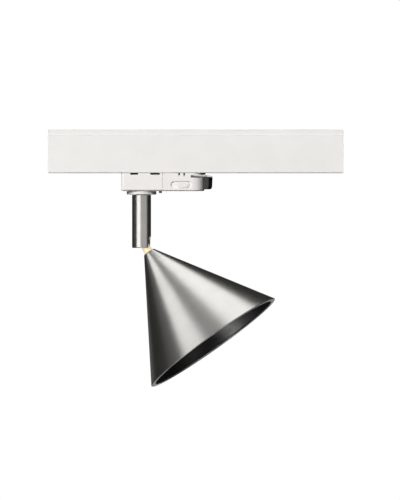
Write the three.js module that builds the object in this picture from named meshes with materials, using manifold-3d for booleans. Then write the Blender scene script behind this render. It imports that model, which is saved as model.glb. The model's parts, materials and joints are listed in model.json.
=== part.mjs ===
// A track spotlight: a length of three-circuit track, a track adapter with a lock lever and a circuit
// selector, a round stem that pans, and a conical shade that tilts on a knuckle hidden in the stem.
// Millimetres, +Z up. The origin is on the stem's axis, in the face of the track that lies on the ceiling.
// X runs along the track and -Y is the front.

import * as THREE from "three";
import { mergeVertices } from "three/addons/utils/BufferGeometryUtils.js";
import Module from "manifold-3d";

const wasm = await Module();
wasm.setup();

// ---------------------------------------------------------------- driving dimensions

// Clearance between neighbouring pieces.
const GAP = 0.3;

// Rest pose, in degrees: the head's lean from straight down, and its turn towards the front.
const TILT = 35.9;
const PAN = 10.3;

// Track: an aluminium extrusion with a closed upper chamber and a channel that is open downwards.
const TRACK_LEFT = -93.2;
const TRACK_RIGHT = 201.5;
const TRACK_HALF = 18;
const TRACK_HEIGHT = 43;
const TRACK_NECK_TOP_HALF = 17.3;
const TRACK_NECK_FOOT_HALF = 16.6;
const TRACK_NECK_HEIGHT = 5.3;
const TRACK_STEP = 0.9;
const CHANNEL_HALF = 16;
const CHANNEL_ROOF = -8.6;
const LIP_TOP = -41.2;
const LIP_HALF = 9.6;
const CHAMBER_HALF = 14;
const CHAMBER_TOP = -2;
const CHAMBER_FLOOR = -6.6;
const FIXING_HOLE_RADIUS = 2.3;
const FIXING_HOLE_INSET = 23;

// Live parts of the track.
const INSULATOR_FOOT = -38.4;
const CONDUCTOR_HEIGHTS = [-18.5, -28.5];
const CONDUCTOR_SIDE = 2.2;
const CONDUCTOR_FACE = 12.1;
const GROOVE_HALF = 1.6;
const GROOVE_FLOOR = 14.6;

// Adapter housings, under the track.
const HOUSING_LEFT = -20.2;
const HOUSING_SPLIT = 21.1;
const HOUSING_RIGHT = 62.9;
const HOUSING_HALF = 17;
const HOUSING_TOP = -43.3;
const HOUSING_FOOT = -61;
const HOUSING_WALL = 1.8;
const HOUSING_LEFT_RADIUS = 3;
const HOUSING_RIGHT_RADIUS = 12;

// Snap windows of the left housing, and the slits beside the right housing's snap tab: left and right x.
const WINDOWS = [[-11.1, -3.3], [8.9, 18.4]];
const WINDOW_FOOT = -45;
const SLITS = [[36.8, 38.4], [41.9, 43.3]];
const SLIT_FOOT = -46.4;

// Housing screws, their bosses and their counterbores.
const SCREW_X = { left: -15.6, right: 27 };
const SCREW_Y = 11.4;
const SCREW_HEAD_TOP = -58.9;
const SCREW_HEAD_HEIGHT = 1.7;
const SCREW_HEAD_RADIUS = 2.7;
const SCREW_SHANK_RADIUS = 1.3;
const SCREW_CLEARANCE = 0.4;
const BOSS_RADIUS = 4;

// Slot of the lever's arm, and the tongue above it. The right housing's top falls away beyond its
// straight front.
const ARM_SLOT_START = 49.2;
const ARM_SLOT_TOP = -45.4;
const ARM_SLOT_FOOT = -47.8;
const TAPER_START = 56.9;
const TAPER_END = 63.9;
const TAPER_DROP = 1.9;
const TONGUE_ROOT = 61.6;
const TONGUE_TIP = 71;
const TONGUE_TOP = -44.9;
const TONGUE_TIP_TOP = -46.3;
const TONGUE_THICKNESS = 0.5;
const TONGUE_HALF = 5;

// Index peg under the left housing.
const PEG_X = 18.9;
const PEG_RADIUS = 1.5;
const PEG_TOP = -56;
const PEG_FOOT = -63.2;

// Insert: the adapter's part inside the track.
const INSERT_LEFT = -14;
const INSERT_RIGHT = 63.9;
const INSERT_HALF = 8.6;
const INSERT_TOP = -12;
const BASE_TOP = -43.6;
const BASE_FOOT = -45.3;
const NOSE_START = 57.5;
const NOSE_FOOT = -44.9;
const NOSE_HALF = 8;
const WIRING_HALF = 6.8;

// Lock lever and what turns with it.
const LEVER_X = 45.4;
const LEVER_GRIP_INNER = 19.8;
const LEVER_GRIP_OUTER = 25.7;
const LEVER_GRIP_HALF_ANGLE = 32;
const LEVER_GRIP_FOOT = -59.3;
const HUB_RADIUS = 13.8;
const ARM_HALF = 2.6;
const ARM_TOP = -46.3;
const ARM_FOOT = -47.6;
const ROTOR_RADIUS = 6.5;
const ROTOR_TOP = -14.5;
const SHAFT_SIDE = 4;
const BLADE_REACH = 11.6;
const BLADE_HALF = 2;
const BLADE_THICKNESS = 1.6;
const CAM_REACH = 13.5;
const CAM_HALF = 3;
const CAM_TOP = -39;
const CAM_FOOT = -40.8;

// Circuit selector: a ribbed thumb slide in an oblong pocket.
const POCKET_LEFT = 29.1;
const POCKET_RIGHT = 50.8;
const POCKET_Z = -54.95;
const POCKET_HALF = 3.45;
const POCKET_DEPTH = 1.6;
const THUMB_LEFT = 35.3;
const THUMB_RIGHT = 47.5;
const THUMB_HALF = 3;
const THUMB_CENTRE = (THUMB_LEFT + THUMB_RIGHT) / 2;
const THUMB_TRAVEL_LEFT = 5.8;
const THUMB_TRAVEL_RIGHT = 2.9;
const STALK_LEFT = 41.8;
const STALK_RIGHT = 44;
const STALK_HALF = 1.1;
const STALK_SLOT_HALF = 1.5;
const SELECTOR_FOOT_LEFT = 37.1;
const SELECTOR_FOOT_RIGHT = 53.1;
const SELECTOR_FOOT_HALF = 2.4;
const RIB_COUNT = 6;
const RIB_PITCH = 1.7;
const RIB_HALF_WIDTH = 0.35;
const RIB_HALF_LENGTH = 2.2;

// Swivel and stem.
const NIPPLE_RADIUS = 5;
const NIPPLE_BORE = 3.2;
const NIPPLE_TOP = -53.5;
const NIPPLE_FOOT = -78;
const ROSETTE_RADIUS = 14.8;
const ROSETTE_FOOT = -64.6;
const STEM_RADIUS = 9.5;
const STEM_BORE = 7.9;
const STEM_FOOT = -118;
const SLOT_HALF = 5.3;
const SLOT_TOP = -105.5;
const FORK_RADIUS = 7.6;
const FORK_TOP = -88;
const FORK_ROOF = -104;
const FORK_EAR = 5;
const EAR_INNER = 3.4;
const GRUB_Z = -94;
const GRUB_RADIUS = 1.5;

// A lug on the fixed nut meets a lug on the turning bush, and stops the stem short of a full turn.
const LUG_HALF = 0.35;

// Head. Distances down its axis are measured from the tilt pivot.
const PIVOT_Z = -111.8;
const PIN_RADIUS = 1.5;
const KNUCKLE_RADIUS = 4.4;
const KNUCKLE_HALF = 2.3;
const TUBE_RADIUS = 3;
const SHADE_HALF_ANGLE = 32;
const SHADE_APEX = 3.2;
const SHADE_TOP = 12.8;
const SHADE_RIM = 124.5;
const SHADE_WALL = 1.6;
const RIM_WIDTH = 5.3;
const LINER_TOP = 56;
const LINER_WALL = 1.2;
const LED_FACE = 55.9;
const LENS_FACE = 76.4;
const FIN_COUNT = 9;
const FIN_TOP = 30;
const SINK_BASE_TOP = 52;
const MODULE_SCREW_COUNT = 3;
const MODULE_SCREW_CIRCLE = 26.4;
const MODULE_SCREW_TOP = 51.4;

// ---------------------------------------------------------------- solids

const radians = THREE.MathUtils.degToRad;
const shadeSlope = Math.tan(radians(SHADE_HALF_ANGLE));
const shadeSecant = 1 / Math.cos(radians(SHADE_HALF_ANGLE));

// A closed three.js geometry as a manifold-3d solid with its faces pointing out.
function solid(geometry) {
  const bare = new THREE.BufferGeometry();
  bare.setAttribute("position", geometry.getAttribute("position"));
  bare.setIndex(geometry.getIndex());
  const merged = mergeVertices(bare, 1e-4);
  const index = merged.getIndex().array;
  const triangles = [];
  for (let i = 0; i < index.length; i += 3) {
    const [a, b, c] = [index[i], index[i + 1], index[i + 2]];
    if (a !== b && b !== c && c !== a) triangles.push(a, b, c);
  }
  const make = (list) =>
    new wasm.Manifold(
      new wasm.Mesh({
        numProp: 3,
        vertProperties: merged.getAttribute("position").array,
        triVerts: new Uint32Array(list),
      }),
    );
  const made = make(triangles);
  return made.volume() < 0 ? make(triangles.reverse()) : made;
}

function join(...solids) {
  return solids.reduce((whole, next) => whole.add(next));
}

function cut(body, ...tools) {
  return tools.reduce((whole, tool) => whole.subtract(tool), body);
}

function box(x0, x1, y0, y1, z0, z1) {
  const geometry = new THREE.BoxGeometry(x1 - x0, y1 - y0, z1 - z0);
  return solid(geometry.translate((x0 + x1) / 2, (y0 + y1) / 2, (z0 + z1) / 2));
}

function outline(points) {
  return new THREE.Shape(points.map(([x, y]) => new THREE.Vector2(x, y)));
}

function extrusion(shape, depth, curveSegments = 4) {
  return new THREE.ExtrudeGeometry(shape, { depth, bevelEnabled: false, curveSegments });
}

// A section in the YZ plane, run along X.
function alongX(shape, x0, x1) {
  const turn = new THREE.Matrix4().makeBasis(
    new THREE.Vector3(0, 1, 0),
    new THREE.Vector3(0, 0, 1),
    new THREE.Vector3(1, 0, 0),
  );
  return solid(extrusion(shape, x1 - x0).applyMatrix4(turn).translate(x0, 0, 0));
}

// A section in the XZ plane, run along Y.
function alongY(shape, y0, y1) {
  return solid(extrusion(shape, y1 - y0).rotateX(Math.PI / 2).translate(0, y1, 0));
}

// A section in the XY plane, run along Z.
function alongZ(shape, z0, z1) {
  return solid(extrusion(shape, z1 - z0).translate(0, 0, z0));
}

// A turned piece about a vertical axis through x, y: pairs of radius and height.
function turned(profile, segments = 20, x = 0, y = 0) {
  const points = profile.map(([radius, height]) => new THREE.Vector2(radius, height));
  const geometry = new THREE.LatheGeometry(points, segments);
  return solid(geometry.rotateX(Math.PI / 2).translate(x, y, 0));
}

function disc(radius, z0, z1, segments = 20, x = 0, y = 0) {
  return turned([[0, z0], [radius, z0], [radius, z1], [0, z1]], segments, x, y);
}

function ring(inner, outer, z0, z1, segments = 20, x = 0, y = 0) {
  return turned([[inner, z0], [outer, z0], [outer, z1], [inner, z1], [inner, z0]], segments, x, y);
}

// A round bar about an axis parallel to Y.
function barAlongY(radius, y0, y1, x, z, segments = 16) {
  const geometry = new THREE.CylinderGeometry(radius, radius, y1 - y0, segments);
  return solid(geometry.translate(x, (y0 + y1) / 2, z));
}

// A round bar about an axis parallel to X, in the plane y = 0.
function barAlongX(radius, x0, x1, z, segments = 10) {
  const geometry = new THREE.CylinderGeometry(radius, radius, x1 - x0, segments);
  return solid(geometry.rotateZ(Math.PI / 2).translate((x0 + x1) / 2, 0, z));
}

function hexNut(acrossFlats, bore, z0, z1) {
  const corner = acrossFlats / Math.sqrt(3);
  return cut(disc(corner, z0, z1, 6), disc(bore, z0 - 1, z1 + 1));
}

// A lead: a round tube along a smooth curve through the points.
function lead(points, radius, steps = 12, sides = 6) {
  const path = new THREE.CatmullRomCurve3(points.map((p) => new THREE.Vector3(...p)));
  const section = new THREE.Shape();
  for (let i = 0; i < sides; i += 1) {
    const angle = (2 * Math.PI * i) / sides;
    const corner = [radius * Math.cos(angle), radius * Math.sin(angle)];
    if (i === 0) section.moveTo(...corner);
    else section.lineTo(...corner);
  }
  section.closePath();
  return solid(
    new THREE.ExtrudeGeometry(section, { steps, extrudePath: path, bevelEnabled: false }),
  );
}

// A plan outline with rounded corners at its left and right ends.
function plan(left, right, half, leftRadius, rightRadius) {
  const shape = new THREE.Shape();
  const quarter = Math.PI / 2;
  const corners = [
    [right - rightRadius, rightRadius - half, rightRadius, -quarter],
    [right - rightRadius, half - rightRadius, rightRadius, 0],
    [left + leftRadius, half - leftRadius, leftRadius, quarter],
    [left + leftRadius, leftRadius - half, leftRadius, 2 * quarter],
  ];
  corners.forEach(([x, y, radius, start], i) => {
    const at = [x + radius * Math.cos(start), y + radius * Math.sin(start)];
    if (i === 0) shape.moveTo(...at);
    else shape.lineTo(...at);
    if (radius > 0) shape.absarc(x, y, radius, start, start + quarter, false);
  });
  return shape;
}

// An oblong outline, in x and z, with full-round ends.
function oblong(left, right, centre, half) {
  const shape = new THREE.Shape();
  shape.moveTo(left + half, centre - half);
  shape.lineTo(right - half, centre - half);
  shape.absarc(right - half, centre, half, -Math.PI / 2, Math.PI / 2, false);
  shape.lineTo(left + half, centre + half);
  shape.absarc(left + half, centre, half, Math.PI / 2, 1.5 * Math.PI, false);
  return shape;
}

// ---------------------------------------------------------------- materials and pieces

function material(color, roughness, metalness = 0) {
  return new THREE.MeshStandardMaterial({ color, roughness, metalness });
}

const paint = {
  whitePowder: material(0xe6e5e1, 0.5),
  insulator: material(0x8e8f90, 0.6),
  copper: material(0xb8734a, 0.35, 1),
  whitePlastic: material(0xe7e5df, 0.55),
  blackPlastic: material(0x1d1c1b, 0.5),
  leverPlastic: material(0x302e2b, 0.5),
  satinNickel: material(0xb9b8b2, 0.3, 1),
  pearlNickel: material(0xcfcdc6, 0.5, 1),
  steel: material(0xa9abad, 0.35, 1),
  brass: material(0xc4a258, 0.35, 1),
  nylon: material(0xd8d4c6, 0.6),
  opal: material(0xfdf8dc, 0.4),
  blackSatin: material(0x252423, 0.45),
  aluminium: material(0xb4b6b8, 0.45, 1),
  circuitBoard: material(0x2f6b46, 0.5),
  ledBoard: material(0xf0efe9, 0.5),
  phosphor: material(0xf3d67a, 0.5),
  mirror: material(0xe8e8e8, 0.1, 1),
  glass: material(0xdfe8ea, 0.1),
  sheath: material(0x2a2a2a, 0.7),
};

function piece(name, body, look) {
  const mesh = body.getMesh();
  const geometry = new THREE.BufferGeometry();
  const positions = new Float32Array(mesh.numVert * 3);
  for (let i = 0; i < mesh.numVert; i += 1) {
    positions.set(mesh.vertProperties.subarray(i * mesh.numProp, i * mesh.numProp + 3), i * 3);
  }
  geometry.setAttribute("position", new THREE.BufferAttribute(positions, 3));
  geometry.setIndex(new THREE.BufferAttribute(new Uint32Array(mesh.triVerts), 1));
  geometry.computeVertexNormals();
  const made = new THREE.Mesh(geometry, look);
  made.name = name;
  return made;
}

// ---------------------------------------------------------------- track

function trackProfile() {
  const shoulder = -(TRACK_NECK_HEIGHT + TRACK_STEP);
  const right = [
    [TRACK_NECK_TOP_HALF, 0],
    [TRACK_NECK_FOOT_HALF, -TRACK_NECK_HEIGHT],
    [TRACK_HALF, shoulder],
    [TRACK_HALF, -TRACK_HEIGHT],
    [LIP_HALF, -TRACK_HEIGHT],
    [LIP_HALF, LIP_TOP],
    [CHANNEL_HALF, LIP_TOP],
    [CHANNEL_HALF, CHANNEL_ROOF],
  ];
  const left = right.map(([y, z]) => [-y, z]).reverse();
  const section = outline([...right, ...left]);
  const chamber = box(
    TRACK_LEFT - 1, TRACK_RIGHT + 1, -CHAMBER_HALF, CHAMBER_HALF, CHAMBER_FLOOR, CHAMBER_TOP,
  );
  const fixingHoles = [TRACK_LEFT + FIXING_HOLE_INSET, TRACK_RIGHT - FIXING_HOLE_INSET].map((x) =>
    disc(FIXING_HOLE_RADIUS, -10, 1, 12, x),
  );
  return cut(alongX(section, TRACK_LEFT, TRACK_RIGHT), chamber, ...fixingHoles);
}

// side is 1 for the rear and -1 for the front.
function insulator(side) {
  const inner = LIP_HALF + GAP;
  const outer = CHANNEL_HALF - GAP;
  const points = [
    [inner, CHANNEL_ROOF - GAP],
    [outer, CHANNEL_ROOF - GAP],
    [outer, INSULATOR_FOOT],
    [inner, INSULATOR_FOOT],
  ];
  [...CONDUCTOR_HEIGHTS].reverse().forEach((z) => {
    points.push([inner, z - GROOVE_HALF], [GROOVE_FLOOR, z - GROOVE_HALF]);
    points.push([GROOVE_FLOOR, z + GROOVE_HALF], [inner, z + GROOVE_HALF]);
  });
  return alongX(outline(points.map(([y, z]) => [side * y, z])), TRACK_LEFT, TRACK_RIGHT);
}

function conductor(side, height) {
  const faces = [side * CONDUCTOR_FACE, side * (CONDUCTOR_FACE + CONDUCTOR_SIDE)];
  const half = CONDUCTOR_SIDE / 2;
  return box(
    TRACK_LEFT + 1,
    TRACK_RIGHT - 1,
    Math.min(...faces),
    Math.max(...faces),
    height - half,
    height + half,
  );
}

function trackGroup() {
  const group = new THREE.Group();
  group.add(piece("track_profile", trackProfile(), paint.whitePowder));
  [["front", -1], ["rear", 1]].forEach(([word, side]) => {
    group.add(piece(`${word}_insulator`, insulator(side), paint.insulator));
    ["upper", "lower"].forEach((level, i) => {
      const bar = conductor(side, CONDUCTOR_HEIGHTS[i]);
      group.add(piece(`${word}_${level}_conductor`, bar, paint.copper));
    });
  });
  return group;
}

// ---------------------------------------------------------------- adapter

// The housings' meeting walls are cut away for the supply lead, and above it for the insert's base.
const SEAM_LEFT = HOUSING_SPLIT - 2.2;
const SEAM_RIGHT = HOUSING_SPLIT + 2.6;
const SEAM_HALF = HOUSING_HALF - HOUSING_WALL;
const seamOpening = join(
  box(SEAM_LEFT, SEAM_RIGHT, -4, 4, -50.4, HOUSING_TOP + 1),
  box(SEAM_LEFT, SEAM_RIGHT, -SEAM_HALF, SEAM_HALF, BASE_FOOT - GAP, HOUSING_TOP + 1),
);

function screwBosses(x) {
  return [-1, 1].map((side) =>
    disc(BOSS_RADIUS, HOUSING_FOOT + 1, BASE_FOOT - GAP, 12, x, side * SCREW_Y),
  );
}

function screwHoles(x) {
  const shank = SCREW_SHANK_RADIUS + SCREW_CLEARANCE;
  const head = SCREW_HEAD_RADIUS + SCREW_CLEARANCE;
  return [-1, 1].flatMap((side) => [
    disc(shank, HOUSING_FOOT - 1, BASE_TOP + 1, 8, x, side * SCREW_Y),
    disc(head, HOUSING_FOOT - 1, SCREW_HEAD_TOP + GAP, 12, x, side * SCREW_Y),
  ]);
}

function housingScrew(x, side) {
  const headFoot = SCREW_HEAD_TOP - SCREW_HEAD_HEIGHT;
  return join(
    disc(SCREW_SHANK_RADIUS, SCREW_HEAD_TOP - 0.2, BASE_TOP - GAP, 8, x, side * SCREW_Y),
    disc(SCREW_HEAD_RADIUS, headFoot, SCREW_HEAD_TOP, 12, x, side * SCREW_Y),
  );
}

// Openings through the front and rear walls, open at the housing's top.
function wallOpenings(spans, foot) {
  return spans.map(([x0, x1]) =>
    box(x0, x1, -HOUSING_HALF - 1, HOUSING_HALF + 1, foot, HOUSING_TOP + 1),
  );
}

function leftHousing() {
  const outer = alongZ(
    plan(HOUSING_LEFT, HOUSING_SPLIT, HOUSING_HALF, HOUSING_LEFT_RADIUS, 0),
    HOUSING_FOOT, HOUSING_TOP,
  );
  const inner = alongZ(
    plan(HOUSING_LEFT + HOUSING_WALL, HOUSING_SPLIT - HOUSING_WALL, HOUSING_HALF - HOUSING_WALL,
      HOUSING_LEFT_RADIUS - HOUSING_WALL, 0),
    HOUSING_FOOT + HOUSING_WALL, HOUSING_TOP + 1,
  );
  return cut(
    join(cut(outer, inner), ...screwBosses(SCREW_X.left)),
    ...screwHoles(SCREW_X.left),
    ...wallOpenings(WINDOWS, WINDOW_FOOT),
    seamOpening,
    disc(NIPPLE_RADIUS + GAP, HOUSING_FOOT - 1, HOUSING_FOOT + HOUSING_WALL + 1),
    disc(PEG_RADIUS + GAP, HOUSING_FOOT - 1, PEG_TOP + GAP, 12, PEG_X),
  );
}

// A thin tongue over the lever's arm. Its root lies along the taper of the housing's top.
function tongueShape() {
  const slope = (TONGUE_TIP_TOP - TONGUE_TOP) / (TONGUE_TIP - TONGUE_ROOT);
  const bend = TONGUE_TOP + slope * (TAPER_END - TONGUE_ROOT);
  return outline([
    [TONGUE_ROOT, TONGUE_TOP],
    [TAPER_END, bend],
    [TONGUE_TIP, TONGUE_TIP_TOP],
    [TONGUE_TIP, TONGUE_TIP_TOP - TONGUE_THICKNESS],
    [TAPER_END, bend - TONGUE_THICKNESS],
    [TONGUE_ROOT, ARM_SLOT_TOP],
  ]);
}

function rightHousing() {
  const left = HOUSING_SPLIT + GAP;
  const outer = alongZ(
    plan(left, HOUSING_RIGHT, HOUSING_HALF, 0, HOUSING_RIGHT_RADIUS), HOUSING_FOOT, HOUSING_TOP,
  );
  const inner = alongZ(
    plan(left + HOUSING_WALL, HOUSING_RIGHT - HOUSING_WALL, HOUSING_HALF - HOUSING_WALL, 0,
      HOUSING_RIGHT_RADIUS - HOUSING_WALL),
    HOUSING_FOOT + HOUSING_WALL, HOUSING_TOP + 1,
  );
  const armSlot = box(ARM_SLOT_START, HOUSING_RIGHT + 0.3, -20, 20, ARM_SLOT_FOOT, ARM_SLOT_TOP);
  const taper = alongY(
    outline([
      [TAPER_START, HOUSING_TOP],
      [TAPER_END, HOUSING_TOP - TAPER_DROP],
      [TAPER_END, HOUSING_TOP + 1],
      [TAPER_START, HOUSING_TOP + 1],
    ]),
    -20, 20,
  );
  const tongue = alongY(tongueShape(), -TONGUE_HALF, TONGUE_HALF);
  const pocketPad = box(27, 53, -HOUSING_HALF + 0.5, -13.2, -59.5, -50);
  const pocket = alongY(
    oblong(POCKET_LEFT, POCKET_RIGHT, POCKET_Z, POCKET_HALF),
    -HOUSING_HALF - 1, -HOUSING_HALF + POCKET_DEPTH,
  );
  const stalkSlot = box(
    STALK_LEFT - THUMB_TRAVEL_LEFT - GAP, STALK_RIGHT + THUMB_TRAVEL_RIGHT + GAP,
    -HOUSING_HALF - 1, -12, POCKET_Z - STALK_SLOT_HALF, POCKET_Z + STALK_SLOT_HALF,
  );
  return cut(
    join(cut(outer, inner), pocketPad, tongue, ...screwBosses(SCREW_X.right)),
    ...screwHoles(SCREW_X.right),
    armSlot,
    taper,
    ...wallOpenings(SLITS, SLIT_FOOT),
    pocket,
    stalkSlot,
    seamOpening,
  );
}

function trackInsert() {
  const block = box(INSERT_LEFT, INSERT_RIGHT, -INSERT_HALF, INSERT_HALF, BASE_TOP + 0.7, INSERT_TOP);
  const nose = alongY(
    outline([
      [NOSE_START, BASE_TOP + 0.8],
      [NOSE_START, BASE_TOP + 0.7],
      [INSERT_RIGHT, NOSE_FOOT],
      [INSERT_RIGHT, BASE_TOP + 0.8],
    ]),
    -NOSE_HALF, NOSE_HALF,
  );
  const inset = HOUSING_WALL + GAP;
  const base = alongZ(
    plan(HOUSING_LEFT + inset, HOUSING_RIGHT - inset, HOUSING_HALF - inset, 1,
      HOUSING_RIGHT_RADIUS - inset),
    BASE_FOOT, BASE_TOP,
  );
  const trunk = box(INSERT_LEFT, 60, -INSERT_HALF, INSERT_HALF, BASE_FOOT + 0.2, BASE_TOP + 1);
  const wiringSpace = box(
    INSERT_LEFT + 3, 28, -WIRING_HALF, WIRING_HALF, BASE_FOOT - 1, INSERT_TOP - 2.5,
  );
  const rotorBore = disc(ROTOR_RADIUS + 0.4, BASE_FOOT - 1, ROTOR_TOP + 0.5, 20, LEVER_X);
  const bladeSpaces = CONDUCTOR_HEIGHTS.map((z) => disc(12.3, z - 1.5, z + 1.5, 20, LEVER_X));
  const camSpace = disc(14.3, CAM_FOOT - 0.4, CAM_TOP + 0.4, 20, LEVER_X);
  return cut(
    join(block, trunk, nose, base),
    wiringSpace,
    rotorBore,
    ...bladeSpaces,
    camSpace,
    ...screwHoles(SCREW_X.left),
    ...screwHoles(SCREW_X.right),
  );
}

function earthSpring(side) {
  const faces = [side * (INSERT_HALF + GAP), side * (INSERT_HALF + GAP + 0.4)];
  return box(-8, 4, Math.min(...faces), Math.max(...faces), -42.8, -30);
}

function terminalBlock() {
  const body = box(10.1, 18, -6, 6, -53.5, -46.2);
  const screwWells = [-3.6, 0, 3.6].map((y) => disc(1.2, -54, -50.5, 8, 14, y));
  return cut(body, ...screwWells);
}

function driverBoard() {
  const board = box(31.6, 54, -9.3, 12, -52, -50.5);
  const capacitor = solid(
    new THREE.CylinderGeometry(3, 3, 10, 14).rotateZ(Math.PI / 2).translate(40, 8, -54.8),
  );
  const coil = box(46.4, 52.6, 3, 10.5, -58.4, -51.9);
  const controller = box(34, 41, -6, 0, -53.6, -51.9);
  const fuse = box(43, 52, -8, -4, -56, -51.9);
  return join(board, capacitor, coil, controller, fuse);
}

function adapterGroup() {
  const group = new THREE.Group();
  group.add(piece("left_housing", leftHousing(), paint.whitePlastic));
  group.add(piece("right_housing", rightHousing(), paint.whitePlastic));
  group.add(piece("track_insert", trackInsert(), paint.blackPlastic));
  group.add(piece("front_earth_spring", earthSpring(-1), paint.brass));
  group.add(piece("rear_earth_spring", earthSpring(1), paint.brass));
  group.add(piece("terminal_block", terminalBlock(), paint.nylon));
  group.add(piece("driver_board", driverBoard(), paint.circuitBoard));
  const supply = [[18.4, 0, -48.6], [23, 0, -48.5], [28, 0, -48.9], [33, 0, -49.2]];
  group.add(piece("supply_lead", lead(supply, 1.1, 6), paint.sheath));
  const down = [
    [9.6, 0, -48], [6, 0, -48.8], [2.8, 0, -51], [0.8, 0, -54], [0, 0, -58], [0, 0, -79],
  ];
  group.add(piece("adapter_lead", lead(down, 1.6, 14), paint.sheath));
  Object.entries(SCREW_X).forEach(([word, x]) => {
    group.add(piece(`${word}_front_housing_screw`, housingScrew(x, -1), paint.steel));
    group.add(piece(`${word}_rear_housing_screw`, housingScrew(x, 1), paint.steel));
  });
  const nipple = ring(NIPPLE_BORE, NIPPLE_RADIUS, NIPPLE_FOOT, NIPPLE_TOP);
  const nippleNut = hexNut(14, NIPPLE_RADIUS + GAP, -58.9, -54.9);
  group.add(piece("threaded_nipple", nipple, paint.steel));
  group.add(piece("nipple_nut", nippleNut, paint.steel));
  const lug = box(-7.3, -5.6, -LUG_HALF, LUG_HALF, -77.5, -73.6);
  const retaining = join(ring(NIPPLE_RADIUS + GAP, 5.9, -77.5, -73.6), lug);
  group.add(piece("retaining_nut", retaining, paint.brass));
  const peg = disc(PEG_RADIUS, PEG_FOOT, PEG_TOP, 12, PEG_X);
  group.add(piece("index_peg", peg, paint.insulator));
  return group;
}

// ---------------------------------------------------------------- lock lever and circuit selector

function squareBore(z0, z1) {
  const half = SHAFT_SIDE / 2 + GAP;
  return box(LEVER_X - half, LEVER_X + half, -half, half, z0, z1);
}

function lockLever() {
  const gripRing = turned(
    [
      [LEVER_GRIP_INNER, LEVER_GRIP_FOOT],
      [LEVER_GRIP_OUTER - 1.8, LEVER_GRIP_FOOT],
      [LEVER_GRIP_OUTER - 0.5, LEVER_GRIP_FOOT + 1.7],
      [LEVER_GRIP_OUTER, -47.2],
      [LEVER_GRIP_INNER, -46.6],
      [LEVER_GRIP_INNER, LEVER_GRIP_FOOT],
    ],
    60, LEVER_X,
  );
  const reach = 40;
  const spread = reach * Math.tan(radians(LEVER_GRIP_HALF_ANGLE));
  const sector = alongZ(
    outline([[LEVER_X, 0], [LEVER_X + reach, -spread], [LEVER_X + reach, spread]]), -62, -40,
  );
  const arm = box(LEVER_X, LEVER_X + LEVER_GRIP_INNER + 0.2, -ARM_HALF, ARM_HALF, ARM_FOOT, ARM_TOP);
  const hub = disc(HUB_RADIUS, ARM_FOOT, ARM_TOP, 40, LEVER_X);
  return cut(join(gripRing.intersect(sector), arm, hub), squareBore(-50, -40));
}

function contactBlade(side, height, grow = 0) {
  const tip = side * (BLADE_REACH + grow);
  const half = BLADE_THICKNESS / 2 + grow;
  const eyeHalf = 3.4 + grow;
  const armHalf = BLADE_HALF + grow;
  const eye = box(
    LEVER_X - eyeHalf, LEVER_X + eyeHalf, -eyeHalf, eyeHalf, height - half, height + half,
  );
  const arm = box(
    LEVER_X - armHalf, LEVER_X + armHalf,
    Math.min(0, tip), Math.max(0, tip), height - half, height + half,
  );
  return join(eye, arm);
}

function lockingCam(grow = 0) {
  return box(
    LEVER_X - CAM_HALF - grow, LEVER_X + CAM_HALF + grow,
    -CAM_REACH - grow, CAM_REACH + grow, CAM_FOOT - grow, CAM_TOP + grow,
  );
}

function contactRotor() {
  const barrel = disc(ROTOR_RADIUS, BASE_FOOT - 0.6, ROTOR_TOP, 20, LEVER_X);
  return cut(
    barrel,
    squareBore(-50, -16.5),
    contactBlade(-1, CONDUCTOR_HEIGHTS[0], GAP),
    contactBlade(1, CONDUCTOR_HEIGHTS[1], GAP),
    lockingCam(GAP),
  );
}

function leverGroup() {
  const group = new THREE.Group();
  const half = SHAFT_SIDE / 2;
  const shaft = box(LEVER_X - half, LEVER_X + half, -half, half, ARM_FOOT + 0.2, -17);
  const phase = cut(contactBlade(-1, CONDUCTOR_HEIGHTS[0]), squareBore(-50, -10));
  const neutral = cut(contactBlade(1, CONDUCTOR_HEIGHTS[1]), squareBore(-50, -10));
  group.add(piece("lock_lever", lockLever(), paint.leverPlastic));
  group.add(piece("lever_shaft", shaft, paint.steel));
  group.add(piece("contact_rotor", contactRotor(), paint.nylon));
  group.add(piece("phase_contact", phase, paint.brass));
  group.add(piece("neutral_contact", neutral, paint.brass));
  group.add(piece("locking_cam", cut(lockingCam(), squareBore(-50, -10)), paint.steel));
  return group;
}

// The foot runs behind the pocket's wall and covers the stalk's slot from the inside.
function circuitSelector() {
  const floor = -HOUSING_HALF + POCKET_DEPTH - GAP;
  const thumb = alongY(oblong(THUMB_LEFT, THUMB_RIGHT, POCKET_Z, THUMB_HALF), floor - 0.9, floor);
  const stalk = box(
    STALK_LEFT, STALK_RIGHT, floor - 0.1, -12.2, POCKET_Z - STALK_HALF, POCKET_Z + STALK_HALF,
  );
  const foot = box(
    SELECTOR_FOOT_LEFT, SELECTOR_FOOT_RIGHT, -12.9, -11.7,
    POCKET_Z - SELECTOR_FOOT_HALF, POCKET_Z + SELECTOR_FOOT_HALF,
  );
  const ribs = [];
  for (let i = 0; i < RIB_COUNT; i += 1) {
    const x = THUMB_CENTRE + (i - (RIB_COUNT - 1) / 2) * RIB_PITCH;
    ribs.push(
      box(
        x - RIB_HALF_WIDTH, x + RIB_HALF_WIDTH, floor - 1.3, floor - 0.8,
        POCKET_Z - RIB_HALF_LENGTH, POCKET_Z + RIB_HALF_LENGTH,
      ),
    );
  }
  return join(thumb, stalk, foot, ...ribs);
}

// ---------------------------------------------------------------- stem

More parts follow.
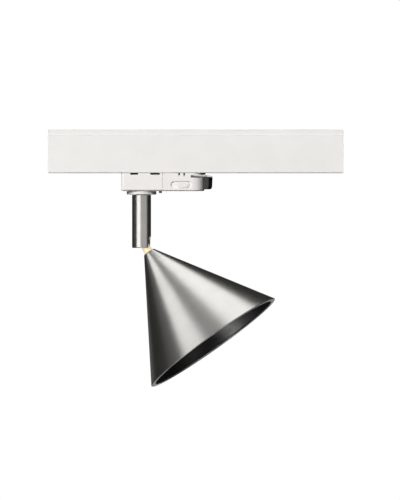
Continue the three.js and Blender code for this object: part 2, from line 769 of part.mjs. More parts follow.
function stemTube() {
  const tube = turned(
    [
      [STEM_BORE, STEM_FOOT],
      [STEM_RADIUS - 0.9, STEM_FOOT],
      [STEM_RADIUS - 0.25, STEM_FOOT + 0.4],
      [STEM_RADIUS, STEM_FOOT + 1.2],
      [STEM_RADIUS, ROSETTE_FOOT - GAP],
      [STEM_BORE, ROSETTE_FOOT - GAP],
      [STEM_BORE, STEM_FOOT],
    ],
    40,
  );
  // The slot that the neck swings out through: round at its top and open at the foot.
  const slot = new THREE.Shape();
  slot.moveTo(-SLOT_HALF, STEM_FOOT - 1);
  slot.lineTo(SLOT_HALF, STEM_FOOT - 1);
  slot.lineTo(SLOT_HALF, SLOT_TOP - SLOT_HALF);
  slot.absarc(0, SLOT_TOP - SLOT_HALF, SLOT_HALF, 0, Math.PI, false);
  const grubHole = barAlongX(GRUB_RADIUS + GAP, -12, -6, GRUB_Z);
  return cut(tube, alongX(slot, 2, STEM_RADIUS + 2), grubHole);
}

function forkInsert() {
  const plug = disc(FORK_RADIUS, FORK_ROOF, FORK_TOP, 24);
  const cheeks = join(
    box(-FORK_EAR, FORK_EAR, -7.5, 7.5, PIVOT_Z, FORK_ROOF + 0.2),
    barAlongY(FORK_EAR, -7.5, 7.5, 0, PIVOT_Z),
  ).intersect(disc(FORK_RADIUS, STEM_FOOT, FORK_TOP, 24));
  const grubSeat = barAlongX(GRUB_RADIUS + GAP, -8.6, -4.6, GRUB_Z);
  return cut(
    join(plug, cheeks),
    box(-9, 9, -EAR_INNER, EAR_INNER, STEM_FOOT, FORK_ROOF),
    barAlongY(PIN_RADIUS + GAP, -9, 9, 0, PIVOT_Z, 12),
    disc(2.6, FORK_ROOF - 1, FORK_TOP + 1, 12),
    grubSeat,
  );
}

function swivelBush() {
  const lug = box(6.1, 7.4, -LUG_HALF, LUG_HALF, -77.2, -72.8);
  return join(ring(NIPPLE_RADIUS + 0.4, FORK_RADIUS, -73, ROSETTE_FOOT - 0.6), lug);
}

function rosette() {
  return turned(
    [
      [NIPPLE_RADIUS + 0.4, ROSETTE_FOOT],
      [ROSETTE_RADIUS - 0.3, ROSETTE_FOOT],
      [ROSETTE_RADIUS, ROSETTE_FOOT + 0.3],
      [ROSETTE_RADIUS, HOUSING_FOOT - GAP],
      [9.2, HOUSING_FOOT - GAP],
      [9.2, HOUSING_FOOT - 1.5],
      [NIPPLE_RADIUS + 0.4, HOUSING_FOOT - 1.5],
      [NIPPLE_RADIUS + 0.4, ROSETTE_FOOT],
    ],
    36,
  );
}

function stemGroup() {
  const group = new THREE.Group();
  group.rotation.z = radians(-PAN);
  const grub = barAlongX(GRUB_RADIUS, -9, -5.4, GRUB_Z);
  const washer = ring(NIPPLE_RADIUS + 0.4, 8.8, HOUSING_FOOT - 1.2, HOUSING_FOOT - GAP);
  group.add(piece("rosette", rosette(), paint.pearlNickel));
  group.add(piece("swivel_washer", washer, paint.nylon));
  group.add(piece("swivel_bush", swivelBush(), paint.brass));
  group.add(piece("stem_tube", stemTube(), paint.satinNickel));
  group.add(piece("fork_insert", forkInsert(), paint.steel));
  group.add(piece("fork_grub_screw", grub, paint.steel));
  group.add(piece("pivot_pin", barAlongY(PIN_RADIUS, -6.2, 6.2, 0, PIVOT_Z, 12), paint.steel));
  group.add(piece("stem_lead", disc(1.6, FORK_ROOF + 0.5, -79.6, 8), paint.sheath));
  group.add(headGroup());
  return group;
}

// ---------------------------------------------------------------- head
// In the head's own group the pivot is the origin and the axis runs down -Z.

function shadeRadius(depth) {
  return shadeSlope * (depth - SHADE_APEX);
}

function shadeInner(depth) {
  return shadeRadius(depth) - SHADE_WALL * shadeSecant;
}

function linerOuter(depth) {
  return shadeInner(depth) - 0.8;
}

function linerInner(depth) {
  return linerOuter(depth) - LINER_WALL * shadeSecant;
}

const headLeadRoute = [
  [-5.4, 0, 2], [-5, 0, -0.8], [-3, 0, -3.8], [-0.8, 0, -6.6], [0, 0, -10], [0, 0, -55.4],
];

function hingeKnuckle() {
  const eye = barAlongY(KNUCKLE_RADIUS, -KNUCKLE_HALF, KNUCKLE_HALF, 0, 0);
  const shank = box(-3.4, 3.4, -KNUCKLE_HALF, KNUCKLE_HALF, -5.3, 0);
  const tube = disc(TUBE_RADIUS, -33, -5, 16);
  return cut(
    join(eye, shank, tube),
    barAlongY(PIN_RADIUS + GAP, -5, 5, 0, 0, 12),
    lead([...headLeadRoute.slice(0, -1), [0, 0, -34]], 1.6, 12),
  );
}

function frictionWasher(side) {
  const faces = [side * 2.6, side * 3.1];
  const y0 = Math.min(...faces);
  const y1 = Math.max(...faces);
  return cut(
    barAlongY(KNUCKLE_RADIUS, y0, y1, 0, 0),
    barAlongY(PIN_RADIUS + GAP, y0 - 1, y1 + 1, 0, 0, 12),
  );
}

function neckDiffuser() {
  return turned(
    [
      [TUBE_RADIUS + GAP, -12.5],
      [4.8, -12.5],
      [3.9, -5.7],
      [TUBE_RADIUS + GAP, -5.7],
      [TUBE_RADIUS + GAP, -12.5],
    ],
    24,
  );
}

function shadeShell() {
  const bore = TUBE_RADIUS + GAP;
  const flange = SHADE_RIM - SHADE_WALL + 0.2;
  const rim = shadeRadius(SHADE_RIM);
  return turned(
    [
      [bore, -SHADE_TOP],
      [shadeRadius(SHADE_TOP), -SHADE_TOP],
      [shadeRadius(SHADE_RIM - 0.6), -(SHADE_RIM - 0.6)],
      [rim - 0.5, -SHADE_RIM],
      [rim - RIM_WIDTH, -SHADE_RIM],
      [rim - RIM_WIDTH, -flange],
      [shadeInner(flange), -flange],
      [shadeInner(SHADE_TOP + 2), -(SHADE_TOP + 2)],
      [bore, -(SHADE_TOP + 2)],
      [bore, -SHADE_TOP],
    ],
    48,
  );
}

function shadeLiner() {
  const foot = SHADE_RIM - SHADE_WALL - 0.2;
  const shelf = LINER_TOP + LINER_WALL;
  const cone = turned(
    [
      [24.5, -LINER_TOP],
      [linerOuter(LINER_TOP), -LINER_TOP],
      [linerOuter(foot), -foot],
      [linerInner(foot), -foot],
      [linerInner(shelf), -shelf],
      [24.5, -shelf],
      [24.5, -LINER_TOP],
    ],
    36,
  );
  return cut(cone, ...moduleScrewPlaces().map(([x, y]) => disc(1.5, -60, -50, 8, x, y)));
}

function moduleScrewPlaces() {
  const places = [];
  for (let i = 0; i < MODULE_SCREW_COUNT; i += 1) {
    const angle = Math.PI / 2 + (2 * Math.PI * i) / MODULE_SCREW_COUNT;
    places.push([MODULE_SCREW_CIRCLE * Math.cos(angle), MODULE_SCREW_CIRCLE * Math.sin(angle)]);
  }
  return places;
}

function moduleScrew([x, y]) {
  const shelf = -(LINER_TOP + LINER_WALL + GAP);
  return join(
    disc(1.2, shelf - 0.1, -MODULE_SCREW_TOP, 8, x, y),
    disc(2.1, shelf - 1.4, shelf, 12, x, y),
  );
}

function heatSink() {
  const body = turned(
    [
      [0, -FIN_TOP],
      [shadeInner(FIN_TOP) - 1, -FIN_TOP],
      [shadeInner(SINK_BASE_TOP) - 1, -SINK_BASE_TOP],
      [shadeInner(SINK_BASE_TOP) - 1, -(LINER_TOP - GAP)],
      [24, -(LINER_TOP - GAP)],
      [24, -(LED_FACE - GAP)],
      [0, -(LED_FACE - GAP)],
    ],
    27,
  );
  const grooves = [];
  for (let i = 0; i < FIN_COUNT; i += 1) {
    const groove = new THREE.BoxGeometry(40, 2.6, 22).translate(28, 0, -38);
    grooves.push(solid(groove.rotateZ((2 * Math.PI * (i + 0.5)) / FIN_COUNT)));
  }
  return cut(
    body,
    ...grooves,
    disc(TUBE_RADIUS + GAP, -60, -20, 16),
    ...moduleScrewPlaces().map(([x, y]) => disc(1.5, -60, -(MODULE_SCREW_TOP - GAP), 8, x, y)),
  );
}

// A cup whose radius grows with the root of its depth.
function reflector() {
  const throat = { radius: 8.2, depth: 57.7 };
  const mouth = { radius: 25, depth: LENS_FACE - GAP };
  const wall = 1;
  const steps = 4;
  const inner = [];
  for (let i = 0; i <= steps; i += 1) {
    const radius = throat.radius + ((mouth.radius - throat.radius) * i) / steps;
    const share = (radius ** 2 - throat.radius ** 2) / (mouth.radius ** 2 - throat.radius ** 2);
    inner.push([radius, -(throat.depth + (mouth.depth - throat.depth) * share)]);
  }
  const outer = inner.map(([radius, z]) => [radius + wall, z]).reverse();
  return turned([...inner, ...outer, inner[0]], 28);
}

function retainingRing() {
  const top = LENS_FACE + 2.3;
  const foot = top + 1.6;
  return turned(
    [
      [24.8, -top],
      [24.8, -foot],
      [linerInner(foot) - 0.4, -foot],
      [linerInner(top) - 0.4, -top],
      [28.4, -top],
      [28.4, -75],
      [26.8, -75],
      [26.8, -top],
      [24.8, -top],
    ],
    32,
  );
}

function headGroup() {
  const group = new THREE.Group();
  group.position.z = PIVOT_Z;
  group.rotation.y = radians(-TILT);
  const nut = hexNut(8.6, TUBE_RADIUS + GAP, -18.6, -(SHADE_TOP + 2 + GAP));
  group.add(piece("hinge_knuckle", hingeKnuckle(), paint.steel));
  group.add(piece("front_friction_washer", frictionWasher(-1), paint.nylon));
  group.add(piece("rear_friction_washer", frictionWasher(1), paint.nylon));
  group.add(piece("neck_diffuser", neckDiffuser(), paint.opal));
  group.add(piece("shade_shell", shadeShell(), paint.satinNickel));
  group.add(piece("shade_nut", nut, paint.steel));
  group.add(piece("shade_liner", shadeLiner(), paint.blackSatin));
  group.add(piece("heat_sink", heatSink(), paint.aluminium));
  group.add(piece("led_board", disc(21, -(LED_FACE + 1.5), -LED_FACE, 28), paint.ledBoard));
  group.add(piece("led_chip", disc(7, -(LED_FACE + 2.9), -(LED_FACE + 1.8), 16), paint.phosphor));
  group.add(piece("reflector", reflector(), paint.mirror));
  group.add(piece("front_lens", disc(26.5, -(LENS_FACE + 2), -LENS_FACE, 32), paint.glass));
  group.add(piece("retaining_ring", retainingRing(), paint.blackSatin));
  moduleScrewPlaces().forEach((place, i) => {
    group.add(piece(`module_screw_${i + 1}`, moduleScrew(place), paint.steel));
  });
  group.add(piece("head_lead", lead(headLeadRoute, 1.1, 14), paint.sheath));
  return group;
}

// ---------------------------------------------------------------- whole object

const spotlight = new THREE.Group();
spotlight.name = "track_spotlight";
spotlight.add(trackGroup());
spotlight.add(adapterGroup());
spotlight.add(leverGroup());
spotlight.add(piece("circuit_selector", circuitSelector(), paint.whitePlastic));
spotlight.add(stemGroup());

export default spotlight;
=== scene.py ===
"""Looks of the track spotlight: refined pieces, procedural materials, studio light and camera.

Pieces are modelled in millimetres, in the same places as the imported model's nodes, and are scaled to
metres when they are settled on their body.
"""

import json
import math

import bmesh
import bpy
from mathutils import Matrix, Vector

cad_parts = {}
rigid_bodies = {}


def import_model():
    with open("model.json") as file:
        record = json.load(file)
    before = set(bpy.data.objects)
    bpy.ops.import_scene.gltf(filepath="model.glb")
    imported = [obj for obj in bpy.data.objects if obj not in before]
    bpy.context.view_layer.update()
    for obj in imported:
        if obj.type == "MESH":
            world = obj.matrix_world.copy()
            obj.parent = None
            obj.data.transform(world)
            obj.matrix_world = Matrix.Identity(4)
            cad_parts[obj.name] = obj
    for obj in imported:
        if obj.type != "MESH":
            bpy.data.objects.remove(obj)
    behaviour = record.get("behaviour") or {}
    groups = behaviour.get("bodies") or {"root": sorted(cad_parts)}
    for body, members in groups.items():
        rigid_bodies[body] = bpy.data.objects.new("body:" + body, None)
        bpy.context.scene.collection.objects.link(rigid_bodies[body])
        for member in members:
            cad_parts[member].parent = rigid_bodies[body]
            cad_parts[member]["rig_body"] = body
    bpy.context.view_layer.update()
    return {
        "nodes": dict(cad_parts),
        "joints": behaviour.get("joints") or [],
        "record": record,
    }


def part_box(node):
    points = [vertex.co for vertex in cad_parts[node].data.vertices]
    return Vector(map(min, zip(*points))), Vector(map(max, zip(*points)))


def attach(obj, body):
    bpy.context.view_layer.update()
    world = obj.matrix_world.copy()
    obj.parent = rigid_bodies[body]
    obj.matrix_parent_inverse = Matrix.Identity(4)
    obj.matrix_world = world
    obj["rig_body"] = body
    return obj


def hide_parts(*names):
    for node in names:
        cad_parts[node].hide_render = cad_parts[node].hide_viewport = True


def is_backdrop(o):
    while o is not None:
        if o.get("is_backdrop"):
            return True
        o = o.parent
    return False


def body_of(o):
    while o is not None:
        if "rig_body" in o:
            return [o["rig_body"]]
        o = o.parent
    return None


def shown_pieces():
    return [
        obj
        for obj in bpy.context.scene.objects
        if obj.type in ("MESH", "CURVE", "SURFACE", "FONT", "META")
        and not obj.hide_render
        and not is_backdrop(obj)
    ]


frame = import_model()

MM = 0.001
GAP = 0.3
CREASE = math.radians(32)
TAU = 2 * math.pi

# ------------------------------------------------------------------ the frame's own places

joints = {joint["name"]: joint for joint in frame["joints"]}
tilt_axis = Vector(joints["head_tilt"]["axis"])
PAN = math.atan2(tilt_axis.x, -tilt_axis.y)
LEAN = math.radians(-joints["head_tilt"]["range_deg"][0])
PIVOT = Vector(joints["head_tilt"]["pos_m"])
LEVER_X = joints["lever_swing"]["pos_m"][0] / MM
ROW_FRAME = Matrix.Identity(4)
STEM_FRAME = Matrix.Rotation(PAN, 4, "Z")
HEAD_FRAME = Matrix.Translation(PIVOT) @ STEM_FRAME @ Matrix.Rotation(-LEAN, 4, "Y")


def box_mm(node):
    """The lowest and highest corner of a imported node, in millimetres."""
    low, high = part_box(node)
    return low / MM, high / MM


# ------------------------------------------------------------------ mesh tools


def add_object(name, bm):
    bmesh.ops.recalc_face_normals(bm, faces=bm.faces)
    mesh = bpy.data.meshes.new(name)
    bm.to_mesh(mesh)
    bm.free()
    obj = bpy.data.objects.new(name, mesh)
    bpy.context.scene.collection.objects.link(obj)
    return obj


def rounded(corners, steps=4):
    """A closed outline with an arc in place of each corner that has a radius: (x, y) or (x, y, radius)."""
    points = []
    count = len(corners)
    for i, corner in enumerate(corners):
        here = Vector(corner[:2])
        radius = corner[2] if len(corner) > 2 else 0
        if radius <= 0:
            points.append(here)
            continue
        to_last = (Vector(corners[i - 1][:2]) - here).normalized()
        to_next = (Vector(corners[(i + 1) % count][:2]) - here).normalized()
        half = to_last.angle(to_next) / 2
        centre = here + (to_last + to_next).normalized() * (radius / math.sin(half))
        start = here + to_last * (radius / math.tan(half)) - centre
        end = here + to_next * (radius / math.tan(half)) - centre
        turn = start.angle_signed(end)
        for step in range(steps + 1):
            points.append(centre + Matrix.Rotation(-turn * step / steps, 2) @ start)
    return points


def lathe(name, profile, segments=96, x=0, y=0):
    """A turned piece about a vertical axis, from a closed outline of (radius, height)."""
    bm = bmesh.new()
    rings = []
    for radius, height in profile:
        if radius < 1e-6:
            rings.append([bm.verts.new((x, y, height))])
            continue
        rings.append(
            [
                bm.verts.new(
                    (
                        x + radius * math.cos(TAU * i / segments),
                        y + radius * math.sin(TAU * i / segments),
                        height,
                    )
                )
                for i in range(segments)
            ]
        )
    for lower, upper in zip(rings, rings[1:] + rings[:1]):
        if len(lower) == 1 and len(upper) == 1:
            continue
        for i in range(segments):
            j = (i + 1) % segments
            if len(lower) == 1:
                bm.faces.new((lower[0], upper[j], upper[i]))
            elif len(upper) == 1:
                bm.faces.new((lower[i], lower[j], upper[0]))
            else:
                bm.faces.new((lower[i], lower[j], upper[j], upper[i]))
    return add_object(name, bm)


def upright(a, b, c):
    return (a, b, c)


def along_x(a, b, c):
    return (c, a, b)


def along_y(a, b, c):
    return (a, c, b)


def loft(name, levels, place=upright):
    """A solid through equal outlines: pairs of height and points. place turns (a, b, height) into x, y, z."""
    bm = bmesh.new()
    rows = [
        [bm.verts.new(place(point[0], point[1], height)) for point in points]
        for height, points in levels
    ]
    count = len(rows[0])
    for lower, upper in zip(rows, rows[1:]):
        for i in range(count):
            j = (i + 1) % count
            bm.faces.new((lower[i], lower[j], upper[j], upper[i]))
    bm.faces.new(rows[0])
    bm.faces.new(rows[-1])
    return add_object(name, bm)


def prism(name, points, low, high, place=upright):
    """A straight solid between two heights, with one outline all the way."""
    return loft(name, [(low, points), (high, points)], place)


def block(x0, x1, y0, y1, z0, z1, name="block"):
    return prism(name, [(x0, y0), (x1, y0), (x1, y1), (x0, y1)], z0, z1)


def rod(radius, low, high, x=0, y=0, segments=32):
    return lathe("rod", [(0, low), (radius, low), (radius, high), (0, high)], segments, x, y)


def rod_along(place, radius, low, high, a=0, b=0, segments=32):
    """A round bar along x or y, through (a, b) in the other two coordinates."""
    points = [
        (a + radius * math.cos(TAU * i / segments), b + radius * math.sin(TAU * i / segments))
        for i in range(segments)
    ]
    return prism("rod", points, low, high, place)


def settle(obj):
    """Applies the object's modifiers."""
    graph = bpy.context.evaluated_depsgraph_get()
    made = bpy.data.meshes.new_from_object(obj.evaluated_get(graph))
    old = obj.data
    obj.modifiers.clear()
    obj.data = made
    bpy.data.meshes.remove(old)
    return obj


def combine(obj, tools, operation):
    for tool in tools:
        modifier = obj.modifiers.new(operation, "BOOLEAN")
        modifier.object = tool
        modifier.operation = operation
        modifier.solver = "EXACT"
    settle(obj)
    for tool in tools:
        mesh = tool.data
        bpy.data.objects.remove(tool)
        bpy.data.meshes.remove(mesh)
    return obj


def cut(obj, *tools):
    return combine(obj, tools, "DIFFERENCE")


def join(obj, *tools):
    return combine(obj, tools, "UNION")


def overlap(obj, *tools):
    return combine(obj, tools, "INTERSECT")


def ease(obj, width, segments=2, angle=35):
    """Rounds the sharp edges of a piece."""
    bm = bmesh.new()
    bm.from_mesh(obj.data)
    bmesh.ops.remove_doubles(bm, verts=bm.verts, dist=1e-4)
    bmesh.ops.dissolve_limit(bm, angle_limit=math.radians(1), verts=bm.verts, edges=bm.edges)
    bm.to_mesh(obj.data)
    bm.free()
    modifier = obj.modifiers.new("edges", "BEVEL")
    modifier.width = width
    modifier.segments = segments
    modifier.limit_method = "ANGLE"
    modifier.angle_limit = math.radians(angle)
    modifier.miter_outer = "MITER_ARC"
    return settle(obj)


def dress(obj, body, slot, replaced, at=ROW_FRAME):
    """Scales a piece to metres, shades it, and gives it its place, its body and the material of its slot."""
    obj.data.transform(Matrix.Scale(MM, 4))
    obj.matrix_world = at
    obj.data.shade_smooth()
    obj.data.set_sharp_from_angle(angle=CREASE)
    weighted = obj.modifiers.new("normals", "WEIGHTED_NORMAL")
    weighted.keep_sharp = True
    settle(obj)
    obj.data.materials.clear()
    obj.data.materials.append(LOOKS[slot])
    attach(obj, body)
    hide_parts(*replaced)


def plan(left, right, half, left_radius, right_radius, steps=10):
    """A plan outline with the same rounding at both corners of each end."""
    return rounded(
        [
            (left, -half, left_radius),
            (right, -half, right_radius),
            (right, half, right_radius),
            (left, half, left_radius),
        ],
        steps,
    )


def oblong(left, right, centre, half, steps=16):
    return plan_xz(left, right, centre - half, centre + half, half - 1e-3, steps)


def plan_xz(left, right, low, high, radius, steps):
    return rounded(
        [(left, low, radius), (right, low, radius), (right, high, radius), (left, high, radius)],
        steps,
    )


# ------------------------------------------------------------------ materials


class Look:
    """A material under construction: a Principled shader with procedural inputs."""

    def __init__(self, name, colour, roughness, metallic=0.0):
        self.material = bpy.data.materials.new(name)
        self.material.use_nodes = True
        self.tree = self.material.node_tree
        self.shader = self.tree.nodes["Principled BSDF"]
        self.shader.inputs["Base Color"].default_value = (*colour, 1)
        self.shader.inputs["Roughness"].default_value = roughness
        self.shader.inputs["Metallic"].default_value = metallic
        self.place = self.tree.nodes.new("ShaderNodeTexCoord").outputs["Object"]
        self.normal = None

    def set(self, **values):
        for name, value in values.items():
            self.shader.inputs[name.replace("_", " ")].default_value = value
        return self

    def link(self, source, target):
        self.tree.links.new(source, target)

    def mapped(self, size, stretch):
        """Object coordinates in units of this size, in millimetres, drawn out by stretch."""
        mapping = self.tree.nodes.new("ShaderNodeMapping")
        mapping.inputs["Scale"].default_value = [1 / (MM * size * s) for s in stretch]
        self.link(self.place, mapping.inputs["Vector"])
        return mapping.outputs["Vector"]

    def noise(self, size, stretch=(1, 1, 1), detail=3.0, roughness=0.55):
        """Noise with features of this size, in millimetres, drawn out by stretch."""
        mapped = self.mapped(size, stretch)
        noise = self.tree.nodes.new("ShaderNodeTexNoise")
        noise.inputs["Scale"].default_value = 1
        noise.inputs["Detail"].default_value = detail
        noise.inputs["Roughness"].default_value = roughness
        self.link(mapped, noise.inputs["Vector"])
        return noise.outputs["Fac"]

    def cells(self, size, stretch=(1, 1, 1), feature="F1"):
        mapped = self.mapped(size, stretch)
        voronoi = self.tree.nodes.new("ShaderNodeTexVoronoi")
        voronoi.feature = feature
        voronoi.inputs["Scale"].default_value = 1
        self.link(mapped, voronoi.inputs["Vector"])
        return voronoi.outputs["Distance"]

    def spread(self, source, low, high, start=0.35, end=0.65):
        """The source's middle range, carried over to low to high."""
        node = self.tree.nodes.new("ShaderNodeMapRange")
        node.inputs["From Min"].default_value = start
        node.inputs["From Max"].default_value = end
        node.inputs["To Min"].default_value = low
        node.inputs["To Max"].default_value = high
        self.link(source, node.inputs["Value"])
        return node.outputs["Result"]

    def tones(self, source, first, second, start=0.35, end=0.65):
        """Base colour that runs from one tone to the other."""
        ramp = self.tree.nodes.new("ShaderNodeValToRGB")
        ramp.color_ramp.elements[0].position = start
        ramp.color_ramp.elements[0].color = (*first, 1)
        ramp.color_ramp.elements[1].position = end
        ramp.color_ramp.elements[1].color = (*second, 1)
        self.link(source, ramp.inputs["Fac"])
        self.link(ramp.outputs["Color"], self.shader.inputs["Base Color"])
        return self

    def sheen_spread(self, source, low, high):
        self.link(self.spread(source, low, high), self.shader.inputs["Roughness"])
        return self

    def bump(self, source, strength, depth):
        """Bump of this depth, in millimetres, on top of any bump before it."""
        node = self.tree.nodes.new("ShaderNodeBump")
        node.inputs["Strength"].default_value = strength
        node.inputs["Distance"].default_value = depth * MM
        self.link(source, node.inputs["Height"])
        if self.normal is not None:
            self.link(self.normal, node.inputs["Normal"])
        self.normal = node.outputs["Normal"]
        self.link(self.normal, self.shader.inputs["Normal"])
        return self


def tinted(colour, factor):
    """The colour made lighter or darker."""
    return tuple(min(1.0, channel * factor) for channel in colour)


def white_powder_coat():
    colour = (0.80, 0.785, 0.757)
    look = Look("white powder coat", colour, 0.42)
    peel = look.noise(0.9, detail=2)
    look.tones(look.noise(22), tinted(colour, 0.985), tinted(colour, 1.015))
    look.sheen_spread(look.noise(6), 0.38, 0.48)
    look.bump(peel, 0.35, 0.02)
    look.bump(look.noise(0.16, detail=1), 0.2, 0.006)
    return look.set(Specular_IOR_Level=0.45)


def white_plastic():
    colour = (0.815, 0.795, 0.764)
    look = Look("white moulded plastic", colour, 0.45)
    look.tones(look.noise(14), tinted(colour, 0.985), tinted(colour, 1.012))
    look.sheen_spread(look.noise(3.5), 0.40, 0.52)
    look.bump(look.noise(0.22, detail=2), 0.3, 0.012)
    look.set(Specular_IOR_Level=0.45, Subsurface_Weight=0.04, Subsurface_Scale=0.0015)
    return look


def moulded(name, colour, roughness, grain=0.25):
    look = Look(name, colour, roughness)
    look.tones(look.noise(9), tinted(colour, 0.9), tinted(colour, 1.12))
    look.sheen_spread(look.noise(3), roughness - 0.05, roughness + 0.06)
    look.bump(look.noise(grain, detail=2), 0.35, 0.015)
    return look


def spun_metal(name, colour, low, high, anisotropy, ring_depth):
    """Metal turned about its own Z axis: fine rings run round it and spread the gloss along it."""
    look = Look(name, colour, (low + high) / 2, 1.0)
    rings = look.noise(0.5, stretch=(160, 160, 1), detail=3, roughness=0.6)
    wide = look.noise(1.4, stretch=(40, 40, 1), detail=2)
    look.tones(look.noise(18), tinted(colour, 0.965), tinted(colour, 1.03))
    look.sheen_spread(wide, low, high)
    look.bump(rings, 0.12, ring_depth)
    look.set(Anisotropic=anisotropy, Anisotropic_Rotation=0.25)
    tangent = look.tree.nodes.new("ShaderNodeTangent")
    tangent.direction_type = "RADIAL"
    tangent.axis = "Z"
    look.link(tangent.outputs["Tangent"], look.shader.inputs["Tangent"])
    return look


def pearl_nickel():
    colour = (0.74, 0.73, 0.705)
    look = Look("pearl nickel", colour, 0.5, 0.1)
    look.tones(look.noise(5), tinted(colour, 0.975), tinted(colour, 1.02))
    look.sheen_spread(look.noise(2.5), 0.46, 0.54)
    look.bump(look.noise(0.25, detail=2), 0.25, 0.01)
    return look


def machined(name, colour, low, high, size=0.5, stretch=(1, 1, 1)):
    look = Look(name, colour, (low + high) / 2, 1.0)
    look.tones(look.noise(4), tinted(colour, 0.9), tinted(colour, 1.08))
    look.sheen_spread(look.noise(1.6, detail=4), low, high)
    look.bump(look.noise(size, stretch=stretch, detail=3), 0.3, 0.008)
    return look


def drawn(name, colour, low, high):
    """Metal drawn along X, with fine lines."""
    return machined(name, colour, low, high, 0.12, (220, 1, 1))


def black_satin_paint():
    colour = (0.010, 0.0095, 0.009)
    look = Look("black satin paint", colour, 0.36)
    look.tones(look.noise(12), tinted(colour, 0.85), tinted(colour, 1.2))
    look.sheen_spread(look.noise(4), 0.30, 0.37)
    look.bump(look.noise(0.7, detail=2), 0.3, 0.014)
    return look.set(Specular_IOR_Level=1.0)


def circuit_board():
    look = Look("circuit board", (0.03, 0.16, 0.07), 0.35)
    lanes = look.cells(2.2, stretch=(2.5, 0.35, 1))
    look.tones(lanes, (0.02, 0.115, 0.05), (0.045, 0.22, 0.10), 0.25, 0.5)
    look.sheen_spread(look.noise(2), 0.28, 0.42)
    look.bump(lanes, 0.3, 0.02)
    return look.set(Coat_Weight=0.4, Coat_Roughness=0.2)


def lead_sheath():
    colour = (0.022, 0.022, 0.023)
    look = Look("lead sheath", colour, 0.55)
    look.tones(look.noise(6), tinted(colour, 0.85), tinted(colour, 1.3))
    look.sheen_spread(look.noise(2), 0.5, 0.62)
    look.bump(look.noise(0.35, stretch=(1, 1, 6)), 0.3, 0.02)
    return look


def opal_diffuser():
    look = Look("lit opal diffuser", (0.25, 0.22, 0.15), 0.4)
    glow = look.tree.nodes.new("ShaderNodeValToRGB")
    glow.color_ramp.elements[0].position = 0.3
    glow.color_ramp.elements[0].color = (0.98, 0.90, 0.76, 1)
    glow.color_ramp.elements[1].position = 0.6
    glow.color_ramp.elements[1].color = (1.0, 0.93, 0.83, 1)
    look.link(look.noise(3.5), glow.inputs["Fac"])
    look.link(glow.outputs["Color"], look.shader.inputs["Emission Color"])
    look.bump(look.noise(0.5), 0.2, 0.01)
    look.set(
        Emission_Strength=0.78,
        Coat_Weight=1.0,
        Coat_Roughness=0.25,
        Coat_IOR=1.6,
        Coat_Tint=(1, 0.92, 0.72, 1),
    )
    return look


def led_phosphor():
    look = Look("led phosphor", (0.9, 0.66, 0.16), 0.5)
    grain = look.noise(0.35, detail=3)
    look.tones(grain, (0.82, 0.55, 0.10), (0.95, 0.74, 0.24))
    look.bump(grain, 0.4, 0.03)
    return look.set(Emission_Color=(1.0, 0.72, 0.38, 1), Emission_Strength=3.0)


def lens_glass():
    look = Look("prismatic lens", (0.93, 0.95, 0.95), 0.12)
    look.bump(look.cells(1.6), 0.5, 0.25)
    look.sheen_spread(look.noise(5), 0.08, 0.16)
    return look.set(Transmission_Weight=0.92, IOR=1.49)


def mirror_reflector():
    look = Look("mirror reflector", (0.86, 0.86, 0.85), 0.1, 1.0)
    look.sheen_spread(look.noise(3), 0.07, 0.15)
    look.bump(look.cells(2.4, feature="SMOOTH_F1"), 0.45, 0.25)
    return look


NICKEL = (0.60, 0.59, 0.565)
LOOKS = {
    slot: look.material
    for slot, look in {
        "white_powder_coat": white_powder_coat(),
        "insulator_plastic": moulded("insulator plastic", (0.44, 0.44, 0.43), 0.55, 0.4),
        "copper": drawn("drawn copper", (0.72, 0.36, 0.22), 0.26, 0.4),
        "white_plastic": white_plastic(),
        "black_plastic": moulded("black plastic", (0.012, 0.0115, 0.011), 0.5),
        "brass": machined("brass", (0.66, 0.47, 0.2), 0.24, 0.38),
        "nylon": moulded("nylon", (0.68, 0.65, 0.56), 0.5, 0.5),
        "circuit_board": circuit_board(),
        "lead_sheath": lead_sheath(),
        "steel": machined("zinc plated steel", (0.55, 0.56, 0.58), 0.26, 0.4),
        "dark_grey_plastic": moulded("dark grey plastic", (0.030, 0.0275, 0.0245), 0.5, 0.3),
        "satin_nickel": spun_metal("satin nickel", NICKEL, 0.29, 0.33, 0.3, 0.001),
        "pearl_nickel": pearl_nickel(),
        "opal_diffuser": opal_diffuser(),
        "black_satin_paint": black_satin_paint(),
        "bare_aluminium": machined("cast aluminium", (0.62, 0.63, 0.64), 0.36, 0.5, 0.8),
        "led_board_white": moulded("led board white", (0.82, 0.82, 0.79), 0.4, 0.4),
        "led_phosphor": led_phosphor(),
        "mirror_reflector": mirror_reflector(),
        "lens_glass": lens_glass(),
    }.items()
}

# ------------------------------------------------------------------ track

TRACK_LOW, TRACK_HIGH = box_mm("track_profile")
TRACK_HALF = TRACK_HIGH.y
TRACK_FOOT = -43
TRACK_NECK_TOP_HALF = 17.3
TRACK_NECK_FOOT_HALF = 16.6
LIP_HALF = 9.6
LIP_TOP = -41.2
CHANNEL_HALF = 16
CHANNEL_TOP = -8.6
CHAMBER_HALF = 14
CHAMBER_FOOT = -6.6
CHAMBER_TOP = -2
FIXING_HOLE_RADIUS = 2.3
FIXING_HOLE_INSET = 23


